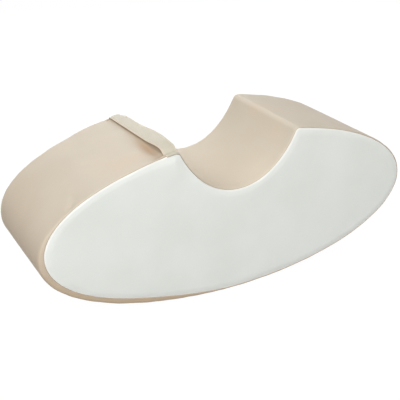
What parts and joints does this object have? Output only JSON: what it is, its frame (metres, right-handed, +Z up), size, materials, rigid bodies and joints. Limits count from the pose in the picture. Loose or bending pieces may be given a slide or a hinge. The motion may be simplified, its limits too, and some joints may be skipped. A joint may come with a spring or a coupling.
{
  "type": "foam rocker",
  "caption": "Boat-shaped toddler's foam rocker in a sewn cover, with a seat notch, a grab strap across the top and a zip underneath.",
  "frame": {"origin": "on the floor under the middle of the block", "axes": "+X along the block towards its back, -X towards the end with the grab strap, +Y across it towards its right side, +Z up"},
  "size_m": [0.9, 0.265, 0.3679],
  "materials": {
    "foam": "matte",
    "cover_white": "satin",
    "cover_beige": "satin",
    "strap_beige": "satin",
    "zip_tape": "matte",
    "zip_metal": "satin"
  },
  "bodies": {
    "block": {"foam_core": "foam", "side_panel_left": "cover_white", "side_panel_right": "cover_white", "front_panel": "cover_beige", "seat_panel": "cover_beige", "base_panel_left": "cover_beige", "base_panel_right": "cover_beige", "handle_strap": "strap_beige", "zip_stringer_left": "zip_tape", "zip_stringer_right": "zip_tape", "zip_top_stop_left": "zip_metal", "zip_top_stop_right": "zip_metal", "zip_bottom_stop": "zip_metal"},
    "slider": {"zip_slider": "zip_metal"},
    "pull": {"zip_pull": "zip_metal"}
  },
  "joints": [
    {"name": "zip_travel", "type": "hinge", "parent": "block", "child": "slider", "pos_m": [0, 0, 1.11098], "axis": [0, 1, 0], "range_deg": [0, 20.2], "deforming": ["zip_stringer_left", "zip_stringer_right"]},
    {"name": "pull_swing", "type": "hinge", "parent": "slider", "child": "pull", "pos_m": [0.19549, 0, 0.01728], "axis": [0, 1, 0], "range_deg": [-85, 65]}
  ]
}
